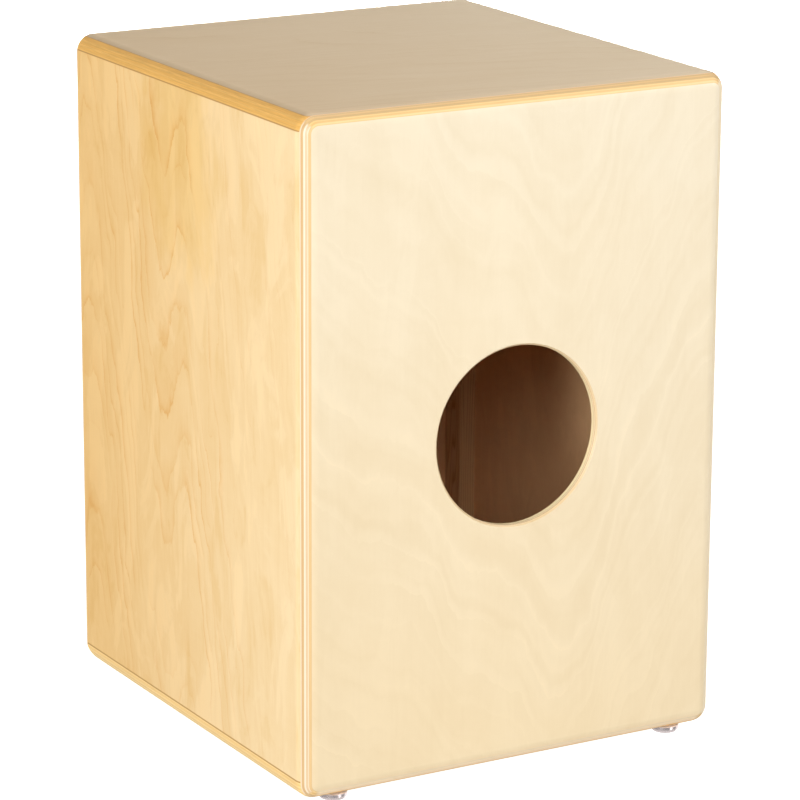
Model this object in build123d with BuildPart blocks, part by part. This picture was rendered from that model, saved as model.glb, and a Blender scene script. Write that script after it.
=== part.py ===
from build123d import *
import math
import os

os.makedirs("parts", exist_ok=True)

# ---------------------------------------------------------------- driving dimensions, mm
# Frame: origin on the floor under the middle of the box, +Z up, playing face (tapa) at -Y,
# rear panel with the sound hole at +Y, the player's left at +X.
WIDTH = 300.0            # box across X
DEPTH = 308.4            # playing face to rear face, Y
BOX_H = 427.0            # wooden box alone
FOOT_H = 4.5             # glides below the box
EDGE_R = 11.2            # round of the four long edges
REAR_R = 10.2            # round of the rear perimeter
FRONT_R = 2.5            # round of the playing face perimeter
FRONT_LOW_R = 20.0       # round under the playing face, along its bottom edge

SEAT_T = 9.3             # 7-ply seat panel
BASE_T = 12.0            # base panel
SIDE_T = 9.0             # side panels
REAR_T = 6.0             # 5-ply rear panel
TAPA_T = 3.0             # thin playing face

HOLE_D = 114.4           # sound hole
HOLE_BREAK_OUT = 1.2     # chamfer at the outside of the sound hole
HOLE_BREAK_IN = 0.5      # chamfer at its inside

BATTEN_W = 12.0          # corner battens, thickness off the panel
BATTEN_D = 20.0          # corner battens, depth behind the tapa
BATTEN_LOW_H = 20.0      # height of the bottom cross batten
BATTEN_BREAK = 1.0       # broken inner corner

# tapa screws, countersunk 3.5 x 20
TS_HEAD_D = 7.0
TS_SHANK_D = 3.4
TS_LENGTH = 20.0
TS_HOLE_D = 3.5
TS_SINK = 0.15           # heads sit this far below the face
SIDE_SCREW_PITCH = 89.25
SIDE_SCREW_COUNT = 5
CROSS_SCREW_X = (-67.5, 0.0, 67.5)
LOW_SCREW_Z = 13.0       # lowest row, above the base panel

# glides
GLIDE_D = 18.0
GLIDE_ROUND = 2.6
GLIDE_X = 122.5
GLIDE_Y = 141.0          # rear pair
GLIDE_Y_FRONT = 124.0    # front pair, inboard of the round
NAIL_D = 2.5
NAIL_L = 10.0

# snare unit
BAR_D = 18.0
BAR_SPIGOT_D = 8.0
BAR_SPIGOT_L = 10.0
BAR_SHOULDER_X = 127.0
BAR_BEHIND_TAPA = 11.0
BAR_Z_ON_BOX = 283.0
BAR_FLAT = 5.0           # milled seat, distance from the bar axis
BAR_BORE_D = 8.1
SEAT_FLAT_L = 54.0
SNARE_X = 62.0
SNARE_LEAN = 1.0         # degrees towards the tapa
PLATE_L = 50.0
PLATE_H = 12.0
PLATE_T = 1.0
COIL_D = 2.6
COIL_COUNT = 10
COIL_PITCH = 4.2
COIL_Z0 = 0.6
COIL_Z1 = 112.0
SS_HEAD_D = 5.5
SS_HEAD_H = 1.6
SS_SHANK_D = 2.8
SS_LENGTH = 11.0
SS_X = 20.5
SS_Z = -3.0
WASHER_T = 1.9
WASHER_D = 18.0
WASHER_BORE = 8.4

# ---------------------------------------------------------------- derived
Z0 = FOOT_H
Z1 = FOOT_H + BOX_H
YF = -DEPTH / 2
YR = DEPTH / 2
YF_IN = YF + TAPA_T
YR_IN = YR - REAR_T
X_IN = WIDTH / 2 - SIDE_T
Z_SIDE0 = Z0 + BASE_T
Z_SIDE1 = Z1 - SEAT_T
Z_MID = (Z0 + Z1) / 2
Y_CARCASS = (YF_IN + YR_IN) / 2
L_CARCASS = YR_IN - YF_IN
BATTEN_X = X_IN - BATTEN_W / 2
Y_BATTEN = YF_IN + BATTEN_D / 2
BAR_Y = YF_IN + BAR_BEHIND_TAPA
BAR_Z = Z0 + BAR_Z_ON_BOX

side_screw_z = [Z_MID + SIDE_SCREW_PITCH * (i - (SIDE_SCREW_COUNT - 1) / 2)
                for i in range(SIDE_SCREW_COUNT)]
screw_xz = [(s * BATTEN_X, z) for s in (-1, 1) for z in side_screw_z]
screw_xz += [(x, Z_SIDE1 - BATTEN_W / 2) for x in CROSS_SCREW_X]
screw_xz += [(x, Z_SIDE0 + LOW_SCREW_Z) for x in CROSS_SCREW_X]
# local +Z of each of these points out of the playing face
tapa_screw_locs = [Location((x, YF, z), (90, 0, 0)) for x, z in screw_xz]

glide_xy = {
    "front_left": (GLIDE_X, -GLIDE_Y_FRONT),
    "front_right": (-GLIDE_X, -GLIDE_Y_FRONT),
    "rear_left": (GLIDE_X, GLIDE_Y),
    "rear_right": (-GLIDE_X, GLIDE_Y),
}
glide_locs = [Location((x, y, Z0)) for x, y in glide_xy.values()]

bar_loc = Location((0, BAR_Y, BAR_Z), (SNARE_LEAN, 0, 0))
snare_screw_pts = [(s * SNARE_X + t * SS_X, SS_Z) for s in (-1, 1) for t in (-1, 1)]

# ---------------------------------------------------------------- outer shape of the box
with BuildPart() as envelope:
    with BuildSketch(Plane.XZ.offset(-YR)):
        with Locations((0, Z_MID)):
            RectangleRounded(WIDTH, BOX_H, EDGE_R)
    extrude(amount=DEPTH)
    fillet(envelope.faces().sort_by(Axis.Y)[-1].edges(), REAR_R)
    fillet(envelope.faces().sort_by(Axis.Y)[0].edges(), FRONT_R)
    with BuildSketch(Plane.YZ.offset(-WIDTH / 2 - 1)) as low_round:
        with Locations((YF + DEPTH, Z0 + BOX_H)):
            Rectangle(2 * DEPTH, 2 * BOX_H)
        fillet(low_round.vertices().group_by(Axis.Y)[0].sort_by(Axis.X)[0], FRONT_LOW_R)
    extrude(amount=WIDTH + 2, mode=Mode.INTERSECT)

# ---------------------------------------------------------------- panels
with BuildPart() as seat_panel:
    with BuildSketch(Plane.XY.offset(Z_SIDE1)):
        with Locations((0, Y_CARCASS)):
            Rectangle(WIDTH, L_CARCASS)
    extrude(amount=SEAT_T)
    add(envelope.part, mode=Mode.INTERSECT)

with BuildPart() as base_panel:
    with BuildSketch(Plane.XY.offset(Z0)):
        with Locations((0, Y_CARCASS)):
            Rectangle(WIDTH, L_CARCASS)
    extrude(amount=BASE_T)
    add(envelope.part, mode=Mode.INTERSECT)
    with BuildSketch(Plane.XY.offset(Z0)):
        with Locations(*glide_xy.values()):
            Circle(NAIL_D / 2 + 0.02)
    extrude(amount=NAIL_L + 0.3, mode=Mode.SUBTRACT)

with BuildPart() as left_side_panel:
    with BuildSketch(Plane.XY.offset(Z_SIDE0)):
        with Locations((X_IN + SIDE_T / 2, Y_CARCASS)):
            Rectangle(SIDE_T, L_CARCASS)
    extrude(amount=Z_SIDE1 - Z_SIDE0)
    add(envelope.part, mode=Mode.INTERSECT)

with BuildPart() as right_side_panel:
    with BuildSketch(Plane.XY.offset(Z_SIDE0)):
        with Locations((-X_IN - SIDE_T / 2, Y_CARCASS)):
            Rectangle(SIDE_T, L_CARCASS)
    extrude(amount=Z_SIDE1 - Z_SIDE0)
    add(envelope.part, mode=Mode.INTERSECT)

with BuildPart() as rear_panel:
    with BuildSketch(Plane.XZ.offset(-YR)):
        with Locations((0, Z_MID)):
            Rectangle(WIDTH, BOX_H)
            Circle(HOLE_D / 2, mode=Mode.SUBTRACT)
    extrude(amount=REAR_T)
    add(envelope.part, mode=Mode.INTERSECT)
    hole_rims = rear_panel.edges().filter_by(GeomType.CIRCLE).filter_by(
        lambda e: abs(e.radius - HOLE_D / 2) < 0.01)
    chamfer(hole_rims.sort_by(Axis.Y)[-1], HOLE_BREAK_OUT)
    hole_rims = rear_panel.edges().filter_by(GeomType.CIRCLE).filter_by(
        lambda e: abs(e.radius - HOLE_D / 2) < 0.01)
    chamfer(hole_rims.sort_by(Axis.Y)[0], HOLE_BREAK_IN)

with BuildPart() as tapa:
    with BuildSketch(Plane.XZ.offset(-YF_IN)):
        with Locations((0, Z_MID)):
            Rectangle(WIDTH, BOX_H)
    extrude(amount=TAPA_T)
    add(envelope.part, mode=Mode.INTERSECT)
    with Locations(*tapa_screw_locs):
        CounterSinkHole(TS_HOLE_D / 2, TS_HEAD_D / 2 + TS_SINK, depth=TAPA_T + 1,
                        counter_sink_angle=90)

# ---------------------------------------------------------------- battens behind the tapa
with BuildPart() as batten_front_left:
    with BuildSketch(Plane.XY.offset(Z_SIDE0)):
        with Locations((BATTEN_X, Y_BATTEN)):
            Rectangle(BATTEN_W, BATTEN_D)
    extrude(amount=Z_SIDE1 - Z_SIDE0)
    corner = batten_front_left.edges().filter_by(Axis.Z).sort_by(
        lambda e: e.center().Y - e.center().X)[-1]
    chamfer(corner, BATTEN_BREAK)
    with Locations(*[Location((s_x, YF_IN, s_z), (90, 0, 0)) for s_x, s_z in screw_xz[5:10]]):
        Cylinder(TS_HOLE_D / 2, TS_LENGTH - TAPA_T + 1.0,
                 align=(Align.CENTER, Align.CENTER, Align.MAX), mode=Mode.SUBTRACT)
    with Locations(Location((X_IN - BATTEN_W, BAR_Y, BAR_Z), (0, 90, 0))):
        Cylinder(BAR_BORE_D / 2, BAR_SPIGOT_L - 1.0,
                 align=(Align.CENTER, Align.CENTER, Align.MIN), mode=Mode.SUBTRACT)

with BuildPart() as batten_front_right:
    with BuildSketch(Plane.XY.offset(Z_SIDE0)):
        with Locations((-BATTEN_X, Y_BATTEN)):
            Rectangle(BATTEN_W, BATTEN_D)
    extrude(amount=Z_SIDE1 - Z_SIDE0)
    corner = batten_front_right.edges().filter_by(Axis.Z).sort_by(
        lambda e: e.center().Y + e.center().X)[-1]
    chamfer(corner, BATTEN_BREAK)
    with Locations(*[Location((s_x, YF_IN, s_z), (90, 0, 0)) for s_x, s_z in screw_xz[0:5]]):
        Cylinder(TS_HOLE_D / 2, TS_LENGTH - TAPA_T + 1.0,
                 align=(Align.CENTER, Align.CENTER, Align.MAX), mode=Mode.SUBTRACT)
    with Locations(Location((-X_IN + BATTEN_W, BAR_Y, BAR_Z), (0, 90, 0))):
        Cylinder(BAR_BORE_D / 2, BAR_SPIGOT_L - 1.0,
                 align=(Align.CENTER, Align.CENTER, Align.MAX), mode=Mode.SUBTRACT)

with BuildPart() as batten_front_top:
    with BuildSketch(Plane.XY.offset(Z_SIDE1 - BATTEN_W)):
        with Locations((0, Y_BATTEN)):
            Rectangle(2 * (X_IN - BATTEN_W), BATTEN_D)
    extrude(amount=BATTEN_W)
    corner = batten_front_top.edges().filter_by(Axis.X).sort_by(
        lambda e: e.center().Y - e.center().Z)[-1]
    chamfer(corner, BATTEN_BREAK)
    with Locations(*[Location((s_x, YF_IN, s_z), (90, 0, 0)) for s_x, s_z in screw_xz[10:13]]):
        Cylinder(TS_HOLE_D / 2, TS_LENGTH - TAPA_T + 1.0,
                 align=(Align.CENTER, Align.CENTER, Align.MAX), mode=Mode.SUBTRACT)

with BuildPart() as batten_front_bottom:
    with BuildSketch(Plane.XY.offset(Z_SIDE0)):
        with Locations((0, Y_BATTEN)):
            Rectangle(2 * (X_IN - BATTEN_W), BATTEN_D)
    extrude(amount=BATTEN_LOW_H)
    corner = batten_front_bottom.edges().filter_by(Axis.X).sort_by(
        lambda e: e.center().Y + e.center().Z)[-1]
    chamfer(corner, BATTEN_BREAK)
    with Locations(*[Location((s_x, YF_IN, s_z), (90, 0, 0)) for s_x, s_z in screw_xz[13:16]]):
        Cylinder(TS_HOLE_D / 2, TS_LENGTH - TAPA_T + 1.0,
                 align=(Align.CENTER, Align.CENTER, Align.MAX), mode=Mode.SUBTRACT)

# ---------------------------------------------------------------- tapa screws
HEAD_CONE = (TS_HEAD_D - TS_SHANK_D) / 2
with BuildPart() as screw_blank:
    with BuildSketch(Plane.XZ):
        with BuildLine():
            Polyline((0, -TS_SINK), (TS_HEAD_D / 2 - 0.02, -TS_SINK),
                     (TS_SHANK_D / 2, -TS_SINK - HEAD_CONE),
                     (TS_SHANK_D / 2, -TS_LENGTH + 3.5), (0.2, -TS_LENGTH),
                     (0, -TS_LENGTH), (0, -TS_SINK))
        make_face()
    revolve(axis=Axis.Z)
    for turn in (0, 90):
        with BuildSketch(Plane.XY.offset(-TS_SINK)):
            Rectangle(3.8, 0.8, rotation=turn)
        extrude(amount=-1.3, mode=Mode.SUBTRACT)

with BuildPart() as tapa_screws:
    with Locations(*tapa_screw_locs):
        add(screw_blank.part)

# ---------------------------------------------------------------- glides
with BuildPart() as glide_blank:
    with BuildSketch(Plane.XZ):
        with BuildLine():
            Line((0, -FOOT_H), (GLIDE_D / 2 - GLIDE_ROUND, -FOOT_H))
            RadiusArc((GLIDE_D / 2 - GLIDE_ROUND, -FOOT_H),
                      (GLIDE_D / 2, -FOOT_H + GLIDE_ROUND), -GLIDE_ROUND)
            Polyline((GLIDE_D / 2, -FOOT_H + GLIDE_ROUND), (GLIDE_D / 2, -0.2),
                     (GLIDE_D / 2 - 0.2, 0), (NAIL_D / 2, 0),
                     (NAIL_D / 2, NAIL_L - 2.5), (0.15, NAIL_L), (0, NAIL_L), (0, -FOOT_H))
        make_face()
    revolve(axis=Axis.Z)

with BuildPart() as glide_front_left:
    with Locations(glide_locs[0]):
        add(glide_blank.part)

with BuildPart() as glide_front_right:
    with Locations(glide_locs[1]):
        add(glide_blank.part)

with BuildPart() as glide_rear_left:
    with Locations(glide_locs[2]):
        add(glide_blank.part)

with BuildPart() as glide_rear_right:
    with Locations(glide_locs[3]):
        add(glide_blank.part)

# ---------------------------------------------------------------- snare unit
with BuildPart() as snare_bar:
    with Locations(bar_loc):
        Cylinder(BAR_D / 2, 2 * BAR_SHOULDER_X, rotation=(0, 90, 0))
    chamfer(snare_bar.edges().filter_by(GeomType.CIRCLE), 0.8)
    with Locations(bar_loc):
        Cylinder(BAR_SPIGOT_D / 2, 2 * (BAR_SHOULDER_X + BAR_SPIGOT_L), rotation=(0, 90, 0))
        with Locations((-SNARE_X, -BAR_FLAT, 0), (SNARE_X, -BAR_FLAT, 0)):
            Box(SEAT_FLAT_L, 10, 2 * BAR_D, align=(Align.CENTER, Align.MAX, Align.CENTER),
                mode=Mode.SUBTRACT)
        with Locations(*[(x, -BAR_FLAT - 1, z) for x, z in snare_screw_pts]):
            Cylinder(SS_SHANK_D / 2 + 0.02, SS_LENGTH + 1.5, rotation=(90, 0, 0),
                     align=(Align.CENTER, Align.CENTER, Align.MAX), mode=Mode.SUBTRACT)

with BuildPart() as snare_plate_left:
    with Locations(bar_loc):
        with Locations((SNARE_X, -BAR_FLAT - PLATE_T / 2, 0)):
            Box(PLATE_L, PLATE_T, PLATE_H)
    chamfer(snare_plate_left.edges().filter_by(lambda e: abs(e.length - PLATE_T) < 0.01), 1.5)
    with Locations(bar_loc):
        with Locations(*[(x, -BAR_FLAT, z) for x, z in snare_screw_pts[2:4]]):
            Cylinder(SS_SHANK_D / 2 + 0.1, 4 * PLATE_T, rotation=(90, 0, 0), mode=Mode.SUBTRACT)

with BuildPart() as snare_plate_right:
    with Locations(bar_loc):
        with Locations((-SNARE_X, -BAR_FLAT - PLATE_T / 2, 0)):
            Box(PLATE_L, PLATE_T, PLATE_H)
    chamfer(snare_plate_right.edges().filter_by(lambda e: abs(e.length - PLATE_T) < 0.01), 1.5)
    with Locations(bar_loc):
        with Locations(*[(x, -BAR_FLAT, z) for x, z in snare_screw_pts[0:2]]):
            Cylinder(SS_SHANK_D / 2 + 0.1, 4 * PLATE_T, rotation=(90, 0, 0), mode=Mode.SUBTRACT)

COIL_Y = -BAR_FLAT - PLATE_T - COIL_D / 2
COIL_X = [COIL_PITCH * (i - (COIL_COUNT - 1) / 2) for i in range(COIL_COUNT)]
with BuildPart() as snare_wires_left:
    with Locations(bar_loc):
        with Locations(*[(SNARE_X + x, COIL_Y, COIL_Z0) for x in COIL_X]):
            Cylinder(COIL_D / 2, COIL_Z1 - COIL_Z0,
                     align=(Align.CENTER, Align.CENTER, Align.MIN))

with BuildPart() as snare_wires_right:
    with Locations(bar_loc):
        with Locations(*[(-SNARE_X + x, COIL_Y, COIL_Z0) for x in COIL_X]):
            Cylinder(COIL_D / 2, COIL_Z1 - COIL_Z0,
                     align=(Align.CENTER, Align.CENTER, Align.MIN))

with BuildPart() as pan_screw_blank:
    Cylinder(SS_HEAD_D / 2, SS_HEAD_H, align=(Align.CENTER, Align.CENTER, Align.MIN))
    fillet(pan_screw_blank.edges().sort_by(Axis.Z)[-1], 0.9)
    with Locations((0, 0, -SS_LENGTH)):
        Cylinder(SS_SHANK_D / 2, SS_LENGTH + 0.5, align=(Align.CENTER, Align.CENTER, Align.MIN))
    chamfer(pan_screw_blank.edges().sort_by(Axis.Z)[0], 1.1)
    for turn in (0, 90):
        with BuildSketch(Plane.XY.offset(SS_HEAD_H)):
            Rectangle(3.0, 0.7, rotation=turn)
        extrude(amount=-1.1, mode=Mode.SUBTRACT)

with BuildPart() as snare_screws:
    with Locations(bar_loc):
        with Locations(*[Location((x, -BAR_FLAT - PLATE_T, z), (90, 0, 0))
                         for x, z in snare_screw_pts]):
            add(pan_screw_blank.part)

with BuildPart() as felt_washer_left:
    with Locations(Location((X_IN - BATTEN_W, BAR_Y, BAR_Z), (0, 90, 0))):
        Cylinder(WASHER_D / 2, WASHER_T, align=(Align.CENTER, Align.CENTER, Align.MAX))
        Cylinder(WASHER_BORE / 2, WASHER_T, align=(Align.CENTER, Align.CENTER, Align.MAX),
                 mode=Mode.SUBTRACT)

with BuildPart() as felt_washer_right:
    with Locations(Location((-X_IN + BATTEN_W, BAR_Y, BAR_Z), (0, 90, 0))):
        Cylinder(WASHER_D / 2, WASHER_T, align=(Align.CENTER, Align.CENTER, Align.MIN))
        Cylinder(WASHER_BORE / 2, WASHER_T, align=(Align.CENTER, Align.CENTER, Align.MIN),
                 mode=Mode.SUBTRACT)

# ---------------------------------------------------------------- names and export
seat_panel.part.label = "seat_panel"
export_step(seat_panel.part, "parts/seat_panel.step")
base_panel.part.label = "base_panel"
export_step(base_panel.part, "parts/base_panel.step")
left_side_panel.part.label = "left_side_panel"
export_step(left_side_panel.part, "parts/left_side_panel.step")
right_side_panel.part.label = "right_side_panel"
export_step(right_side_panel.part, "parts/right_side_panel.step")
rear_panel.part.label = "rear_panel"
export_step(rear_panel.part, "parts/rear_panel.step")
tapa.part.label = "tapa"
export_step(tapa.part, "parts/tapa.step")
batten_front_left.part.label = "batten_front_left"
export_step(batten_front_left.part, "parts/batten_front_left.step")
batten_front_right.part.label = "batten_front_right"
export_step(batten_front_right.part, "parts/batten_front_right.step")
batten_front_top.part.label = "batten_front_top"
export_step(batten_front_top.part, "parts/batten_front_top.step")
batten_front_bottom.part.label = "batten_front_bottom"
export_step(batten_front_bottom.part, "parts/batten_front_bottom.step")
tapa_screws.part.label = "tapa_screws"
export_step(tapa_screws.part, "parts/tapa_screws.step")
glide_front_left.part.label = "glide_front_left"
export_step(glide_front_left.part, "parts/glide_front_left.step")
glide_front_right.part.label = "glide_front_right"
export_step(glide_front_right.part, "parts/glide_front_right.step")
glide_rear_left.part.label = "glide_rear_left"
export_step(glide_rear_left.part, "parts/glide_rear_left.step")
glide_rear_right.part.label = "glide_rear_right"
export_step(glide_rear_right.part, "parts/glide_rear_right.step")
snare_bar.part.label = "snare_bar"
export_step(snare_bar.part, "parts/snare_bar.step")
snare_plate_left.part.label = "snare_plate_left"
export_step(snare_plate_left.part, "parts/snare_plate_left.step")
snare_plate_right.part.label = "snare_plate_right"
export_step(snare_plate_right.part, "parts/snare_plate_right.step")
snare_wires_left.part.label = "snare_wires_left"
export_step(snare_wires_left.part, "parts/snare_wires_left.step")
snare_wires_right.part.label = "snare_wires_right"
export_step(snare_wires_right.part, "parts/snare_wires_right.step")
snare_screws.part.label = "snare_screws"
export_step(snare_screws.part, "parts/snare_screws.step")
felt_washer_left.part.label = "felt_washer_left"
export_step(felt_washer_left.part, "parts/felt_washer_left.step")
felt_washer_right.part.label = "felt_washer_right"
export_step(felt_washer_right.part, "parts/felt_washer_right.step")
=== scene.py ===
import math
import random
import bpy
import bmesh
from mathutils import Matrix, Vector


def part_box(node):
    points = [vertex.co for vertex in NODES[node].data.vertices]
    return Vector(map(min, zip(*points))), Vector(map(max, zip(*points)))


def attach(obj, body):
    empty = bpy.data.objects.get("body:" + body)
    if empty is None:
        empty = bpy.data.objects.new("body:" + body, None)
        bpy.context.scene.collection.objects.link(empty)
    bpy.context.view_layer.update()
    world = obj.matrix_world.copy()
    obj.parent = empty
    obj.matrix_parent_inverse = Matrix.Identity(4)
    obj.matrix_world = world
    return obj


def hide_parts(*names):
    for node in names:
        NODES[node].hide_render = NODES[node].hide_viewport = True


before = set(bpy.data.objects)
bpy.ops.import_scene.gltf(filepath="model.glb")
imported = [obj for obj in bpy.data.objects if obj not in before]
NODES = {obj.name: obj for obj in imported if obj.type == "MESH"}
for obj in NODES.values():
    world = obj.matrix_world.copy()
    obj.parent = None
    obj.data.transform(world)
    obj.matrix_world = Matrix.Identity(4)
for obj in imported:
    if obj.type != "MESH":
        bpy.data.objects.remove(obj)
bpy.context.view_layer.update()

# ---------------------------------------------------------------- sizes shared with the CAD, metres
lo_tapa, hi_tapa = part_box("tapa")
lo_rear, hi_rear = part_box("rear_panel")
lo_side, hi_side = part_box("left_side_panel")
lo_seat, hi_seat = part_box("seat_panel")
lo_base, hi_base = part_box("base_panel")
X_FACE = 1000 * hi_side[0]          # mm
Y_REAR = 1000 * hi_rear[1]
Y_FRONT = 1000 * lo_tapa[1]
Z_TOP = 1000 * hi_seat[2]
Z_BOT = 1000 * lo_base[2]
SIDE_T = 1000 * (hi_side[0] - lo_side[0])
REAR_T = 1000 * (hi_rear[1] - lo_rear[1])
TAPA_T = 1000 * (hi_tapa[1] - lo_tapa[1])
SEAT_T = 1000 * (hi_seat[2] - lo_seat[2])
BASE_T = 1000 * (hi_base[2] - lo_base[2])


# ---------------------------------------------------------------- node helpers
def srgb(r, g, b):
    """8-bit display colour to the linear colour a shader takes."""
    def f(c):
        c /= 255.0
        return c / 12.92 if c <= 0.04045 else ((c + 0.055) / 1.055) ** 2.4
    return (f(r), f(g), f(b))


class Graph:
    """A few short calls for building one material's nodes."""

    def __init__(self, name):
        self.mat = bpy.data.materials.new(name)
        self.mat.use_nodes = True
        self.nt = self.mat.node_tree
        self.nt.nodes.clear()
        self.out = self.nt.nodes.new("ShaderNodeOutputMaterial")
        self.bsdf = self.nt.nodes.new("ShaderNodeBsdfPrincipled")
        self.nt.links.new(self.bsdf.outputs[0], self.out.inputs[0])

    def _in(self, socket, value):
        if value is None:
            return
        if hasattr(value, "links") or isinstance(value, bpy.types.NodeSocket):
            self.nt.links.new(value, socket)
        else:
            socket.default_value = value

    def math(self, op, a, b=None, c=None, clamp=False):
        n = self.nt.nodes.new("ShaderNodeMath")
        n.operation = op
        n.use_clamp = clamp
        self._in(n.inputs[0], a)
        self._in(n.inputs[1], b)
        self._in(n.inputs[2], c)
        return n.outputs[0]

    def add(self, a, b):
        return self.math("ADD", a, b)

    def sub(self, a, b):
        return self.math("SUBTRACT", a, b)

    def mul(self, a, b):
        return self.math("MULTIPLY", a, b)

    def mad(self, a, b, c):
        return self.math("MULTIPLY_ADD", a, b, c)

    def position(self):
        """Object position in millimetres: three sockets."""
        t = self.nt.nodes.new("ShaderNodeTexCoord")
        s = self.nt.nodes.new("ShaderNodeSeparateXYZ")
        self.nt.links.new(t.outputs["Object"], s.inputs[0])
        return [self.mul(s.outputs[i], 1000.0) for i in range(3)]

    def vec(self, x, y, z):
        n = self.nt.nodes.new("ShaderNodeCombineXYZ")
        for i, v in enumerate((x, y, z)):
            self._in(n.inputs[i], v)
        return n.outputs[0]

    def noise(self, vector=None, scale=1.0, detail=2.0, rough=0.5, distortion=0.0, w=None):
        n = self.nt.nodes.new("ShaderNodeTexNoise")
        n.noise_dimensions = "1D" if w is not None else "3D"
        if w is not None:
            self._in(n.inputs["W"], w)
        else:
            self._in(n.inputs["Vector"], vector)
        n.inputs["Scale"].default_value = scale
        n.inputs["Detail"].default_value = detail
        n.inputs["Roughness"].default_value = rough
        n.inputs["Distortion"].default_value = distortion
        return n.outputs[0]

    def rng(self, v, a, b, c=0.0, d=1.0, smooth=False, clamp=True):
        n = self.nt.nodes.new("ShaderNodeMapRange")
        n.clamp = clamp
        if smooth:
            n.interpolation_type = "SMOOTHSTEP"
        self._in(n.inputs["Value"], v)
        n.inputs["From Min"].default_value = a
        n.inputs["From Max"].default_value = b
        n.inputs["To Min"].default_value = c
        n.inputs["To Max"].default_value = d
        return n.outputs[0]

    def ramp(self, fac, stops, interp="LINEAR"):
        n = self.nt.nodes.new("ShaderNodeValToRGB")
        cr = n.color_ramp
        cr.interpolation = interp
        while len(cr.elements) > 1:
            cr.elements.remove(cr.elements[-1])
        for i, (p, col) in enumerate(stops):
            if isinstance(col, (int, float)):
                col = (col, col, col)
            e = cr.elements[0] if i == 0 else cr.elements.new(min(max(p, 0.0), 1.0))
            e.position = min(max(p, 0.0), 1.0)
            e.color = (*col[:3], 1.0)
        self._in(n.inputs[0], fac)
        return n.outputs[0]

    def curve(self, v, points):
        n = self.nt.nodes.new("ShaderNodeFloatCurve")
        c = n.mapping.curves[0]
        for i, (x, y) in enumerate(points):
            if i == 0:
                c.points[0].location = (x, y)
            elif i == len(points) - 1:
                c.points[-1].location = (x, y)
            else:
                c.points.new(x, y)
        n.mapping.update()
        self._in(n.inputs["Value"], v)
        return n.outputs[0]

    def mix(self, fac, a, b, mode="MIX"):
        n = self.nt.nodes.new("ShaderNodeMix")
        n.data_type = "RGBA"
        n.blend_type = mode
        n.clamp_factor = True
        for key, v in (("Factor_Float", fac), ("A_Color", a), ("B_Color", b)):
            s = next(i for i in n.inputs if i.identifier == key)
            if isinstance(v, tuple):
                v = (*v[:3], 1.0)
            self._in(s, v)
        return next(o for o in n.outputs if o.identifier == "Result_Color")

    def scale_color(self, col, factor):
        """col times a grey factor socket."""
        n = self.nt.nodes.new("ShaderNodeVectorMath")
        n.operation = "SCALE"
        self._in(n.inputs[0], col)
        self._in(n.inputs["Scale"], factor)
        return n.outputs[0]

    def bump(self, height, distance, strength=1.0):
        n = self.nt.nodes.new("ShaderNodeBump")
        n.inputs["Strength"].default_value = strength
        n.inputs["Distance"].default_value = distance
        self._in(n.inputs["Height"], height)
        self._in(self.bsdf.inputs["Normal"], n.outputs[0])

    def set(self, **kw):
        for k, v in kw.items():
            s = self.bsdf.inputs[k.replace("_", " ")]
            if isinstance(v, tuple):
                v = (*v[:3], 1.0)
            self._in(s, v)
        return self.mat


# ---------------------------------------------------------------- birch plywood
def figure(g, u, v, profile, ring_mm, seed, warp_mm=13.0, jag=0.09, wander=1.2, ripple=0.0):
    """Rotary-cut growth-ring figure. u runs across the grain from 0, v along it, in mm. profile is a list of
    (u, drop) points: how far, in mm, one ring has dropped along the grain at u. Peaks of a ring make arches and
    steep stretches make near-straight lines.
    Gives (line, band, shade): thin ring lines, broad soft bands, and the soft side of each line, all 0..1."""
    span = profile[-1][0]
    top = max(p[1] for p in profile)
    low = g.noise(g.vec(g.mul(u, 0.010), g.mul(v, 0.0042), seed), 1.0, 2.0, 0.5)
    warp = g.noise(g.vec(g.mul(u, 0.03), g.mul(v, 0.009), seed + 7.3), 1.0, 3.0, 0.55)
    un = g.rng(g.mad(g.sub(warp, 0.5), 2 * warp_mm, u), 0.0, span)
    h = g.curve(un, [(p[0] / span, p[1] / top) for p in profile])
    ring = g.mad(h, top / ring_mm, g.mul(v, 1.0 / ring_mm))
    ring = g.mad(g.sub(low, 0.5), 2.0 * wander, ring)
    if ripple:
        rip = g.noise(g.vec(g.mul(u, 0.045), g.mul(v, 0.028), seed + 5.9), 1.0, 3.0, 0.55)
        ring = g.mad(g.sub(rip, 0.5), 2.0 * ripple / ring_mm, ring)
    fine = g.noise(g.vec(g.mul(u, 0.30), g.mul(v, 0.07), seed + 3.1), 1.0, 4.0, 0.65)
    ring = g.mad(g.sub(fine, 0.5), jag * 2.0, ring)
    # uneven ring widths: stretch the ring number by a slow function of itself
    uneven = g.noise(w=g.mul(ring, 0.62), scale=1.0, detail=1.0)
    ring = g.mad(g.sub(uneven, 0.5), 1.5, ring)
    fr = g.math("FRACT", ring)
    wn = g.nt.nodes.new("ShaderNodeTexWhiteNoise")
    wn.noise_dimensions = "1D"
    g.nt.links.new(g.math("FLOOR", ring), wn.inputs["W"])
    strong = g.rng(wn.outputs["Value"], 0.25, 0.95, 0.12, 1.0)
    line = g.mul(strong, g.ramp(fr, [(0.0, 0.9), (0.02, 1.0), (0.06, 0.42), (0.14, 0.14), (0.30, 0.0), (0.96, 0.0),
                                     (1.0, 0.9)]))
    shade = g.mul(strong, g.ramp(fr, [(0.0, 0.55), (0.03, 1.0), (0.30, 0.55), (0.75, 0.05), (1.0, 0.0)], "EASE"))
    band = g.noise(w=ring, scale=0.8, detail=2.0, rough=0.5)
    return line, band, shade


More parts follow.
